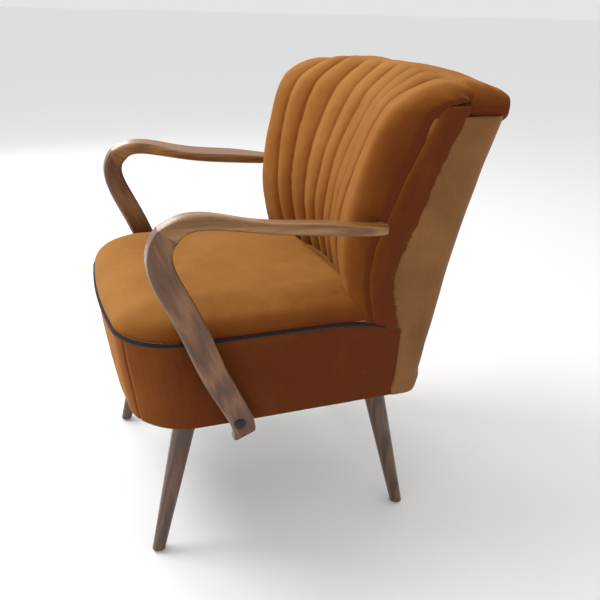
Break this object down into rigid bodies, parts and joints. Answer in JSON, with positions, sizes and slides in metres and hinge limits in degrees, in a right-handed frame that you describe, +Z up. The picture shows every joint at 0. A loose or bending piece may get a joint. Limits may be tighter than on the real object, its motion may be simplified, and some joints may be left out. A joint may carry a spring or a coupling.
{
  "type": "upholstered armchair",
  "caption": "Low cocktail armchair with a sprung seat, fluted back, padded head roll, curved wooden arms and splayed tapered legs.",
  "frame": {"origin": "on the floor, under the centre of the bounding box", "axes": "+Z up, the sitter faces -Y, +X to the sitter's left"},
  "size_m": [0.5788, 0.6449, 0.7756],
  "materials": {
    "leg_wood": "satin walnut stain",
    "arm_wood": "satin varnished beech",
    "frame_wood": "sawn, unfinished",
    "glide_steel": "polished dome",
    "fixing_steel": "zinc plated",
    "spring_steel": "coppered wire",
    "cap_metal": "dark burnished",
    "velvet": "short-pile velvet",
    "outer_back_cloth": "flat woven cloth",
    "piping_cord": "covered cord",
    "webbing": "woven jute",
    "hessian": "woven jute",
    "stuffing": "felted hair and cotton",
    "dust_cloth": "thin woven cloth"
  },
  "bodies": {
    "root": {"arm_block_left": "frame_wood", "arm_block_right": "frame_wood", "arm_bolt_nuts": "fixing_steel", "arm_bolt_washers": "fixing_steel", "arm_bolts": "fixing_steel", "arm_dowels": "frame_wood", "arm_upright_left": "arm_wood", "arm_upright_right": "arm_wood", "armrest_left": "arm_wood", "armrest_right": "arm_wood", "armrest_screws": "fixing_steel", "back_band_left": "velvet", "back_band_right": "velvet", "back_cushion": "velvet", "back_hessian": "hessian", "back_lumbar_rail": "frame_wood", "back_post_dowels": "frame_wood", "back_post_left": "frame_wood", "back_post_right": "frame_wood", "back_stuffing": "stuffing", "back_top_rail": "frame_wood", "back_webbing": "webbing", "bolt_cap_left": "cap_metal", "bolt_cap_right": "cap_metal", "corner_block_screws": "fixing_steel", "corner_blocks": "frame_wood", "dust_cover": "dust_cloth", "glide_front_left": "glide_steel", "glide_front_right": "glide_steel", "glide_rear_left": "glide_steel", "glide_rear_right": "glide_steel", "head_roll": "velvet", "leg_front_left": "leg_wood", "leg_front_right": "leg_wood", "leg_rear_left": "leg_wood", "leg_rear_right": "leg_wood", "leg_studs": "fixing_steel", "outer_back": "outer_back_cloth", "outer_back_wadding": "stuffing", "seat_border_cover": "velvet", "seat_border_felt": "stuffing", "seat_front_rail": "frame_wood", "seat_hessian": "hessian", "seat_piping": "piping_cord", "seat_rear_rail": "frame_wood", "seat_side_rail_left": "frame_wood", "seat_side_rail_right": "frame_wood", "seat_springs": "spring_steel", "seat_stuffing": "stuffing", "seat_top_cover": "velvet", "seat_webbing": "webbing"}
  },
  "joints": []
}
